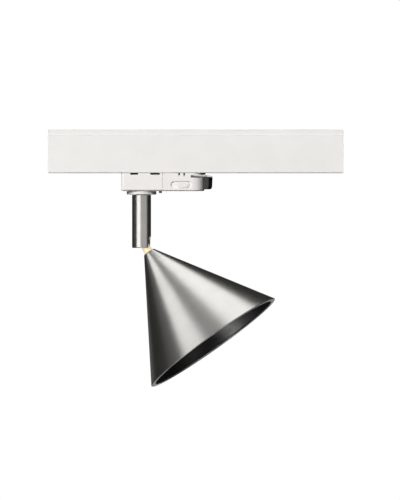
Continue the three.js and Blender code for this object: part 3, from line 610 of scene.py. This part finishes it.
def track():
    right = [
        (TRACK_NECK_TOP_HALF, 0, 1.2),
        (TRACK_NECK_FOOT_HALF, -5.3, 0.2),
        (TRACK_HALF, -6.2, 0.5),
        (TRACK_HALF, TRACK_FOOT, 0.4),
        (LIP_HALF, TRACK_FOOT, 0.4),
        (LIP_HALF, LIP_TOP, 0.3),
        (CHANNEL_HALF, LIP_TOP, 0.3),
        (CHANNEL_HALF, CHANNEL_TOP, 0.5),
    ]
    left = [(-y, z, r) for y, z, r in reversed(right)]
    body = prism(
        "track_extrusion", rounded([*right, *left], 4), TRACK_LOW.x, TRACK_HIGH.x, along_x
    )
    chamber = prism(
        "chamber",
        plan_xz(-CHAMBER_HALF, CHAMBER_HALF, CHAMBER_FOOT, CHAMBER_TOP, 0.6, 3),
        TRACK_LOW.x - 1,
        TRACK_HIGH.x + 1,
        along_x,
    )
    hole_places = (TRACK_LOW.x + FIXING_HOLE_INSET, TRACK_HIGH.x - FIXING_HOLE_INSET)
    holes = [rod(FIXING_HOLE_RADIUS, -12, 1, x) for x in hole_places]
    cut(body, chamber, *holes)
    ease(body, 0.22, 2, 50)
    dress(body, "track", "white_powder_coat", ["track_profile"])


track()

# ------------------------------------------------------------------ adapter housings

HOUSING_FOOT = -61
HOUSING_TOP = -43.3
HOUSING_HALF = 17
WALL = 1.8
SPLIT = 21.1
LEFT_END = box_mm("left_housing")[0].x
RIGHT_END = 62.9
SCREW_HEAD_TOP = -58.9
SCREW_Y = 11.4
SCREW_X = {"left": -15.6, "right": 27}
INSERT_BASE_FOOT = -45.3
RIGHT_CORNER = 12
BOSS_RADIUS = 4
SCREW_HOLE = 1.7
SCREW_HEAD_HOLE = 3.1
WINDOWS = ((-11.1, -3.3), (8.9, 18.4))
WINDOW_SILL = -45
SLITS = ((36.8, 38.4), (41.9, 43.3))
SLIT_FOOT = -46.4
ARM_SLOT_FOOT = -47.8
ARM_SLOT_TOP = -45.4
POCKET_Z = -54.95
# Half the width of a tool that cuts through the front and the rear of a housing.
THROUGH = 20


def housing_levels(outline, foot_radius, steps=6):
    """Levels of a housing's outside, with its foot edge rounded: outline(inset) gives a plan outline."""
    levels = []
    for step in range(steps + 1):
        angle = math.pi / 2 * step / steps
        inset = foot_radius * (1 - math.sin(angle))
        levels.append((HOUSING_FOOT + foot_radius * (1 - math.cos(angle)), outline(inset)))
    levels.append((HOUSING_TOP, outline(0)))
    return levels


def bosses(x):
    top = INSERT_BASE_FOOT - GAP
    return [rod(BOSS_RADIUS, HOUSING_FOOT + 1, top, x, side * SCREW_Y) for side in (-1, 1)]


def boss_holes(x):
    holes = []
    for side in (-1, 1):
        holes.append(rod(SCREW_HOLE, HOUSING_FOOT - 1, HOUSING_TOP + 1, x, side * SCREW_Y))
        holes.append(rod(SCREW_HEAD_HOLE, HOUSING_FOOT - 1, SCREW_HEAD_TOP + GAP, x, side * SCREW_Y))
    return holes


def seam_opening():
    left = SPLIT - 2.2
    right = SPLIT + 2.6
    half = HOUSING_HALF - WALL
    return [
        block(left, right, -4, 4, -50.4, HOUSING_TOP + 1),
        block(left, right, -half, half, INSERT_BASE_FOOT - GAP, HOUSING_TOP + 1),
    ]


def left_housing():
    def outline(inset):
        return plan(LEFT_END + inset, SPLIT, HOUSING_HALF - inset, max(3 - inset, 0.4), 0)

    body = loft("left_cover", housing_levels(outline, 1.7))
    inner = prism(
        "inner",
        plan(LEFT_END + WALL, SPLIT - WALL, HOUSING_HALF - WALL, 1.2, 0),
        HOUSING_FOOT + WALL,
        HOUSING_TOP + 1,
    )
    cut(body, inner)
    join(body, *bosses(SCREW_X["left"]))
    windows = [
        block(x0, x1, -THROUGH, THROUGH, WINDOW_SILL, HOUSING_TOP + 1) for x0, x1 in WINDOWS
    ]
    cut(body, *boss_holes(SCREW_X["left"]), *windows, *seam_opening())
    nipple_hole = rod(5.3, -70, -58, segments=48)
    peg_hole = rod(1.8, -62, -55.7, 18.9)
    cut(body, nipple_hole, peg_hole)
    ease(body, 0.22)
    dress(body, "adapter", "white_plastic", ["left_housing"])


def right_housing():
    left = SPLIT + GAP

    def outline(inset):
        return plan(left, RIGHT_END - inset, HOUSING_HALF - inset, 0, RIGHT_CORNER - inset, 14)

    body = loft("right_cover", housing_levels(outline, 1.2))
    inner = prism(
        "inner",
        plan(left + WALL, RIGHT_END - WALL, HOUSING_HALF - WALL, 0, RIGHT_CORNER - WALL, 14),
        HOUSING_FOOT + WALL,
        HOUSING_TOP + 1,
    )
    cut(body, inner)
    pad = block(27, 53, -16.5, -13.2, -59.5, -50)
    tongue = prism(
        "tongue",
        [(61.6, -44.9), (63.9, -45.25), (71, -46.3), (71, -46.8), (63.9, -45.75), (61.6, -45.4)],
        -5,
        5,
        along_y,
    )
    join(body, pad, *bosses(SCREW_X["right"]))
    join(body, tongue)
    taper_outline = [(56.9, HOUSING_TOP), (63.9, -45.2), (63.9, -42), (56.9, -42)]
    taper = prism("taper", taper_outline, -THROUGH, THROUGH, along_y)
    slits = [block(x0, x1, -THROUGH, THROUGH, SLIT_FOOT, HOUSING_TOP + 1) for x0, x1 in SLITS]
    pocket = prism("pocket", oblong(29.1, 50.8, POCKET_Z, 3.45), -19, -15.4, along_y)
    thumb_slot = block(35.7, 47.2, -18, -12, POCKET_Z - 1.5, POCKET_Z + 1.5)
    arm_slot = block(49.2, RIGHT_END + 0.3, -THROUGH, THROUGH, ARM_SLOT_FOOT, ARM_SLOT_TOP)
    cut(body, *boss_holes(SCREW_X["right"]), arm_slot, taper, *slits)
    cut(body, pocket, thumb_slot, *seam_opening())
    ease(body, 0.22)
    dress(body, "adapter", "white_plastic", ["right_housing"])


left_housing()
right_housing()

# ------------------------------------------------------------------ small pieces of the adapter


def cut_cross(screw, x, y, reach, half, low, high):
    """Cuts a cross recess into a screw's head."""
    recess = block(x - reach, x + reach, y - half, y + half, low, high)
    join(recess, block(x - half, x + half, y - reach, y + reach, low, high))
    cut(screw, recess)


def housing_screws():
    for word, x in SCREW_X.items():
        for place, side in (("front", -1), ("rear", 1)):
            y = side * SCREW_Y
            profile = rounded(
                [
                    (0, -60.6),
                    (2.7, -60.6, 0.45),
                    (2.7, SCREW_HEAD_TOP, 0.15),
                    (1.3, SCREW_HEAD_TOP),
                    (1.3, -43.9),
                    (0, -43.9),
                ],
                4,
            )
            screw = lathe(f"{word}_{place}_cover_screw", profile, 48, x, y)
            cut_cross(screw, x, y, 1.6, 0.42, -61, -59.6)
            dress(screw, "adapter", "steel", [f"{word}_{place}_housing_screw"])


def index_peg():
    low, high = box_mm("index_peg")
    x = (low.x + high.x) / 2
    radius = (high.x - low.x) / 2
    peg = lathe(
        "index_pin",
        rounded([(0, low.z), (radius, low.z, 0.4), (radius, high.z, 0.2), (0, high.z)], 5),
        48,
        x,
    )
    dress(peg, "adapter", "insulator_plastic", ["index_peg"])


INSERT_LEFT = -14
INSERT_HALF = 8.6
# Radius, foot and top of the spaces in which the rotor, its two contacts and the locking cam turn.
TURNING_SPACES = ((6.9, -47, -14), (12.3, -20, -17), (12.3, -30, -27), (14.3, -41.2, -38.6))


def track_insert():
    right = box_mm("track_insert")[1].x
    body = block(INSERT_LEFT, right, -INSERT_HALF, INSERT_HALF, -42.9, -12, "insert_core")
    nose = prism("nose", [(57.5, -42.8), (57.5, -42.9), (63.9, -44.9), (63.9, -42.8)], -8, 8, along_y)
    inset = WALL + GAP
    base = prism(
        "base",
        plan(LEFT_END + inset, RIGHT_END - inset, HOUSING_HALF - inset, 1, RIGHT_CORNER - inset),
        INSERT_BASE_FOOT,
        -43.6,
    )
    trunk = block(INSERT_LEFT, 60, -INSERT_HALF, INSERT_HALF, INSERT_BASE_FOOT + 0.2, -42.6)
    join(body, trunk)
    join(body, nose)
    join(body, base)
    hollow = block(-11, 28, -6.8, 6.8, -47, -14.5)
    spaces = [rod(radius, foot, top, LEVER_X, segments=48) for radius, foot, top in TURNING_SPACES]
    cut(body, hollow, *spaces)
    cut(body, *boss_holes(SCREW_X["left"]), *boss_holes(SCREW_X["right"]))
    ease(body, 0.2)
    dress(body, "adapter", "black_plastic", ["track_insert"])


housing_screws()
index_peg()
track_insert()

# ------------------------------------------------------------------ lock lever and circuit selector


GRIP_SECTOR = math.radians(32)
GRIP_REACH = 40
HUB_RADIUS = 13.8
ARM_FOOT = -47.6
ARM_TOP = -46.3
ARM_HALF = 2.6
SHAFT_HALF = 2.3


def lock_lever():
    grip = lathe(
        "release_lever",
        rounded(
            [
                (19.8, -59.3, 0.4),
                (23.9, -59.3, 0.5),
                (25.2, -57.6, 0.9),
                (25.7, -47.2, 0.5),
                (19.8, -46.6, 0.3),
            ],
            4,
        ),
        192,
        LEVER_X,
    )
    spread = GRIP_REACH * math.tan(GRIP_SECTOR)
    far = LEVER_X + GRIP_REACH
    sector = prism("sector", [(LEVER_X, 0), (far, -spread), (far, spread)], -62, -40)
    overlap(grip, sector)
    join(grip, block(LEVER_X, LEVER_X + 20.2, -ARM_HALF, ARM_HALF, ARM_FOOT, ARM_TOP))
    join(grip, rod(HUB_RADIUS, ARM_FOOT, ARM_TOP, LEVER_X, segments=96))
    cut(grip, block(LEVER_X - SHAFT_HALF, LEVER_X + SHAFT_HALF, -SHAFT_HALF, SHAFT_HALF, -50, -40))
    ease(grip, 0.3, 3, 40)
    dress(grip, "lock_lever", "dark_grey_plastic", ["lock_lever"])


POCKET_FLOOR = -15.7
THUMB_CENTRE = 41.4
RIB_COUNT = 6
RIB_PITCH = 1.7
RIB_HALF_WIDTH = 0.35
RIB_HALF_LENGTH = 2.5


def circuit_selector():
    floor = POCKET_FLOOR
    thumb = prism("selector_slide", oblong(35.3, 47.5, POCKET_Z, 3), floor - 0.9, floor, along_y)
    join(thumb, block(41.8, 44, floor - 0.1, -12.2, POCKET_Z - 1.1, POCKET_Z + 1.1))
    join(thumb, block(37.1, 53.1, -12.9, -11.7, POCKET_Z - 2.4, POCKET_Z + 2.4))
    for i in range(RIB_COUNT):
        x = THUMB_CENTRE + (i - (RIB_COUNT - 1) / 2) * RIB_PITCH
        low = POCKET_Z - RIB_HALF_LENGTH
        high = POCKET_Z + RIB_HALF_LENGTH
        rib = prism(
            "rib",
            plan_xz(x - RIB_HALF_WIDTH, x + RIB_HALF_WIDTH, low, high, 0.3, 4),
            floor - 1.2,
            floor - 0.8,
            along_y,
        )
        join(thumb, rib)
    ease(thumb, 0.14, 2, 40)
    dress(thumb, "circuit_selector", "white_plastic", ["circuit_selector"])


lock_lever()
circuit_selector()

# ------------------------------------------------------------------ stem

STEM_RADIUS = 9.5
STEM_BORE = 7.9
STEM_FOOT = -118
STEM_TOP = -64.9
SLOT_HALF = 5.3
SLOT_TOP = -105.5
GRUB_Z = -94
HEX_RADIUS = 0.8


def rosette():
    inner = 5.4
    profile = rounded(
        [
            (inner, -64.6),
            (14.8, -64.6, 0.35),
            (14.8, -61.3, 0.3),
            (9.2, -61.3),
            (9.2, -62.5),
            (inner, -62.5),
        ],
        4,
    )
    body = lathe("flange_disc", profile, 160)
    dress(body, "stem", "pearl_nickel", ["rosette"], STEM_FRAME)


def stem_tube():
    profile = rounded(
        [
            (STEM_BORE, STEM_FOOT, 0.25),
            (STEM_RADIUS, STEM_FOOT, 0.9),
            (STEM_RADIUS, STEM_TOP, 0.2),
            (STEM_BORE, STEM_TOP, 0.15),
        ],
        6,
    )
    body = lathe("stem_sleeve", profile, 160)
    centre = SLOT_TOP - SLOT_HALF
    arch = [
        (SLOT_HALF * math.cos(math.pi * i / 32), centre + SLOT_HALF * math.sin(math.pi * i / 32))
        for i in range(33)
    ]
    slot = prism(
        "slot", [(-SLOT_HALF, STEM_FOOT - 1), (SLOT_HALF, STEM_FOOT - 1), *arch], 2, 12, along_x
    )
    hole = rod_along(along_x, 1.8, -12, -6, 0, GRUB_Z, 32)
    cut(body, slot, hole)
    ease(body, 0.16, 2, 40)
    dress(body, "stem", "satin_nickel", ["stem_tube"], STEM_FRAME)


def grub_screw():
    body = rod_along(along_x, 1.5, -9.0, -5.4, 0, GRUB_Z, 40)
    angles = [TAU * i / 6 for i in range(6)]
    points = [(HEX_RADIUS * math.cos(a), GRUB_Z + HEX_RADIUS * math.sin(a)) for a in angles]
    cut(body, prism("hex", points, -10, -7.6, along_x))
    ease(body, 0.12, 2, 40)
    body.name = "grub_fixing"
    dress(body, "stem", "steel", ["fork_grub_screw"], STEM_FRAME)


rosette()
stem_tube()
grub_screw()

# ------------------------------------------------------------------ head

CONE_HALF_ANGLE = math.radians(32)
SLOPE = math.tan(CONE_HALF_ANGLE)
SECANT = 1 / math.cos(CONE_HALF_ANGLE)
APEX = 3.2
SHADE_TOP = 12.8
SHADE_RIM = 124.5
SHADE_WALL = 1.6
RIM_WIDTH = 5.3
LINER_TOP = 56
LINER_WALL = 1.2
LINER_BORE = 24.5
MODULE_SCREW_CIRCLE = 26.4
MODULE_SCREW_PLACES = [
    (MODULE_SCREW_CIRCLE * math.cos(a), MODULE_SCREW_CIRCLE * math.sin(a))
    for a in (TAU / 4 + TAU * i / 3 for i in range(3))
]


def shade_radius(depth):
    return SLOPE * (depth - APEX)


def shade_inner(depth):
    return shade_radius(depth) - SHADE_WALL * SECANT


def liner_outer(depth):
    return shade_inner(depth) - 0.8


def liner_inner(depth):
    return liner_outer(depth) - LINER_WALL * SECANT


def shade_shell():
    bore = 3.3
    flange = SHADE_RIM - SHADE_WALL + 0.2
    rim = shade_radius(SHADE_RIM)
    profile = rounded(
        [
            (bore, -SHADE_TOP),
            (shade_radius(SHADE_TOP), -SHADE_TOP, 0.25),
            (rim, -SHADE_RIM, 0.45),
            (rim - RIM_WIDTH, -SHADE_RIM, 0.3),
            (rim - RIM_WIDTH, -flange, 0.2),
            (shade_inner(flange), -flange),
            (shade_inner(SHADE_TOP + 2), -(SHADE_TOP + 2)),
            (bore, -(SHADE_TOP + 2)),
        ],
        6,
    )
    body = lathe("cone_shade", profile, 256)
    dress(body, "head", "satin_nickel", ["shade_shell"], HEAD_FRAME)


def shade_liner():
    foot = SHADE_RIM - SHADE_WALL - 0.2
    shelf = LINER_TOP + LINER_WALL
    profile = rounded(
        [
            (LINER_BORE, -LINER_TOP),
            (liner_outer(LINER_TOP), -LINER_TOP, 0.5),
            (liner_outer(foot), -foot, 0.2),
            (liner_inner(foot), -foot, 0.3),
            (liner_inner(shelf), -shelf, 1.2),
            (LINER_BORE, -shelf, 0.3),
        ],
        5,
    )
    body = lathe("inner_cone", profile, 192)
    cut(body, *[rod(1.5, -60, -50, x, y) for x, y in MODULE_SCREW_PLACES])
    dress(body, "head", "black_satin_paint", ["shade_liner"], HEAD_FRAME)


def retaining_ring():
    top = 78.7
    foot = 80.3
    profile = rounded(
        [
            (24.8, -top, 0.3),
            (24.8, -foot, 0.5),
            (liner_inner(foot) - 0.4, -foot, 0.3),
            (liner_inner(top) - 0.4, -top),
            (28.4, -top),
            (28.4, -75, 0.2),
            (26.8, -75, 0.2),
            (26.8, -top),
        ],
        4,
    )
    body = lathe("lens_ring", profile, 160)
    dress(body, "head", "black_satin_paint", ["retaining_ring"], HEAD_FRAME)


def front_lens():
    body = lathe(
        "lens_disc",
        rounded([(0, -78.4), (26.5, -78.4, 0.3), (26.5, -76.4, 0.3), (0, -76.4)], 3),
        128,
    )
    dress(body, "head", "lens_glass", ["front_lens"], HEAD_FRAME)


def reflector():
    """A parabolic bowl, open at the chip and at the lens."""
    throat = 8.2
    mouth = 25
    top = 57.7
    foot = 76.1
    inner = []
    steps = 14
    for i in range(steps + 1):
        radius = throat + (mouth - throat) * i / steps
        share = (radius**2 - throat**2) / (mouth**2 - throat**2)
        inner.append((radius, -(top + (foot - top) * share)))
    outer = [(radius + 1, z) for radius, z in reversed(inner)]
    body = lathe("beam_reflector", [*inner, *outer], 96)
    dress(body, "head", "mirror_reflector", ["reflector"], HEAD_FRAME)


def led_module():
    chip = lathe(
        "led_disc", rounded([(0, -58.8), (7, -58.8, 0.5), (7, -57.7, 0.1), (0, -57.7)], 4), 96
    )
    dress(chip, "head", "led_phosphor", ["led_chip"], HEAD_FRAME)
    board = lathe(
        "led_substrate", rounded([(0, -57.4), (21, -57.4, 0.2), (21, -55.9, 0.2), (0, -55.9)], 3), 96
    )
    dress(board, "head", "led_board_white", ["led_board"], HEAD_FRAME)


def neck():
    profile = rounded(
        [(3.3, -12.5), (4.8, -12.5, 0.25), (3.9, -5.7, 0.3), (3.3, -5.7)],
        5,
    )
    body = lathe("lit_neck", profile, 96)
    dress(body, "head", "opal_diffuser", ["neck_diffuser"], HEAD_FRAME)


def module_screws():
    shelf = -(LINER_TOP + LINER_WALL + GAP)
    for number, (x, y) in enumerate(MODULE_SCREW_PLACES, 1):
        profile = rounded(
            [
                (0, shelf - 1.4),
                (2.1, shelf - 1.4, 0.7),
                (2.1, shelf, 0.1),
                (1.2, shelf),
                (1.2, -51.4),
                (0, -51.4),
            ],
            4,
        )
        screw = lathe(f"module_fixing_{number}", profile, 48, x, y)
        cut_cross(screw, x, y, 1.2, 0.32, shelf - 1.8, shelf - 0.7)
        dress(screw, "head", "steel", [f"module_screw_{number}"], HEAD_FRAME)


shade_shell()
shade_liner()
retaining_ring()
front_lens()
reflector()
led_module()
neck()
module_screws()

# ------------------------------------------------------------------ what the metal mirrors

# Only the stem's and the head's own pieces show in reflections. Those of the track, the adapter,
# the lever and the selector don't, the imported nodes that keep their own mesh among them.
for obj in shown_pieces():
    if body_of(obj)[0] not in ("stem", "head"):
        obj.visible_glossy = False

# ------------------------------------------------------------------ nodes that keep their own mesh

slots = {part["node"]: part["material_slot"] for part in frame["record"]["subparts"]}
for name, node in frame["nodes"].items():
    look = LOOKS[slots[name]]
    node.data.materials.clear()
    node.data.materials.append(look)

# ------------------------------------------------------------------ studio

TARGET = Vector((0.06, 0, -0.14))


def direction(azimuth, elevation):
    """Azimuth 0 is towards the camera and negative is to its left, in degrees."""
    a = math.radians(azimuth)
    e = math.radians(elevation)
    return Vector((math.sin(a) * math.cos(e), -math.cos(a) * math.cos(e), math.sin(e)))


def panel(name, azimuth, elevation, distance, width, height, radiance, along=(0, 0, 1)):
    """A rectangular soft light that faces the object. Its height runs in the direction of along."""
    light = bpy.data.lights.new(name, "AREA")
    light.shape = "RECTANGLE"
    light.size = width
    light.size_y = height
    light.energy = radiance * math.pi * width * height
    obj = bpy.data.objects.new(name, light)
    bpy.context.scene.collection.objects.link(obj)
    away = direction(azimuth, elevation)
    side = Vector(along).cross(away).normalized()
    turn = Matrix((side, away.cross(side), away)).transposed().to_4x4()
    obj.matrix_world = Matrix.Translation(TARGET + away * distance) @ turn
    obj.visible_camera = False
    return obj


def mirrored(*measures, **options):
    """A light that shows only as a reflection, in the metal and the gloss."""
    panel(*measures, **options).visible_diffuse = False


def general(*measures):
    """A light that brightens surfaces that scatter light, and never shows as a reflection."""
    panel(*measures).visible_glossy = False


mirrored("left softbox", -36.5, 2, 1.5, 1.26, 1.2, 1.85)
mirrored("left grey card", -101, 15, 1.5, 0.35, 0.5, 0.12)
mirrored("upper left softbox", -83, 37, 1.5, 0.85, 0.76, 1.6, along=(0.35, -0.31, 0.42))
mirrored("upper grey card", -64, 58, 1.4, 0.4, 0.35, 0.32)
mirrored("overhead softbox", -147, 80, 1.3, 1.2, 1.1, 1.62, along=(0.50, 0.70, -0.10))
mirrored("grey front softbox", 29, 0, 1.5, 2.4, 1.3, 0.6)
mirrored("lower softbox", -2, -62, 1.2, 0.5, 0.5, 3.0)
mirrored("lower grey card", -45, -60, 1.3, 1.4, 1.4, 0.3)
mirrored("rim card", 174, -12, 2.0, 0.45, 0.35, 0.6)
mirrored("back card", -168, -12, 2.0, 1.6, 0.9, 0.1)
general("key light", -26, 20, 8.0, 3.4, 3.0, 20.8)
general("front fill", 8, -25, 5.0, 4.0, 3.0, 2.5)
general("back light", -155, 25, 5.0, 3.0, 3.0, 8.0)


DOME_RADIUS = 9
FLOOR_RADIUS = 8.9
FLOOR_Z = -0.95
CAMERA_PLACE = (0.05845, -6.0, -0.12005)
CAMERA_LENS = 432


def dome():
    """White surroundings that only the camera sees."""
    bm = bmesh.new()
    bmesh.ops.create_uvsphere(bm, u_segments=64, v_segments=32, radius=DOME_RADIUS)
    obj = add_object("backdrop", bm)
    obj.location = TARGET
    material = bpy.data.materials.new("backdrop white")
    material.use_nodes = True
    nodes = material.node_tree.nodes
    nodes.remove(nodes["Principled BSDF"])
    glow = nodes.new("ShaderNodeEmission")
    glow.inputs["Color"].default_value = (1, 1, 1, 1)
    glow.inputs["Strength"].default_value = 1.02
    material.node_tree.links.new(glow.outputs["Emission"], nodes["Material Output"].inputs["Surface"])
    obj.data.materials.append(material)
    for ray in ("glossy", "diffuse", "transmission", "shadow", "volume_scatter"):
        setattr(obj, f"visible_{ray}", False)
    obj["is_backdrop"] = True


def floor():
    """A pale floor below the object, which stays out of its reflections and its light."""
    bm = bmesh.new()
    bmesh.ops.create_circle(bm, cap_ends=True, segments=96, radius=FLOOR_RADIUS)
    obj = add_object("floor", bm)
    obj.location = (TARGET.x, 0, FLOOR_Z)
    look = Look("pale floor", (0.86, 0.86, 0.85), 0.8)
    look.tones(look.noise(60), (0.84, 0.84, 0.83), (0.88, 0.88, 0.87))
    look.set(Emission_Color=(1, 1, 0.99, 1), Emission_Strength=0.8)
    obj.data.materials.append(look.material)
    obj.visible_glossy = False
    obj.visible_diffuse = False
    obj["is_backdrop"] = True


dome()
floor()

world = bpy.data.worlds.new("studio")
bpy.context.scene.world = world
world.use_nodes = True
world.node_tree.nodes["Background"].inputs["Color"].default_value = (1, 1, 1, 1)
world.node_tree.nodes["Background"].inputs["Strength"].default_value = 0.028

view = bpy.context.scene.view_settings
view.view_transform = "Standard"
view.look = "None"

camera_data = bpy.data.cameras.new("camera")
camera_data.sensor_width = 36
camera_data.lens = CAMERA_LENS
camera = bpy.data.objects.new("camera", camera_data)
bpy.context.scene.collection.objects.link(camera)
camera.location = CAMERA_PLACE
camera.rotation_euler = (math.radians(90), 0, 0)
bpy.context.scene.camera = camera
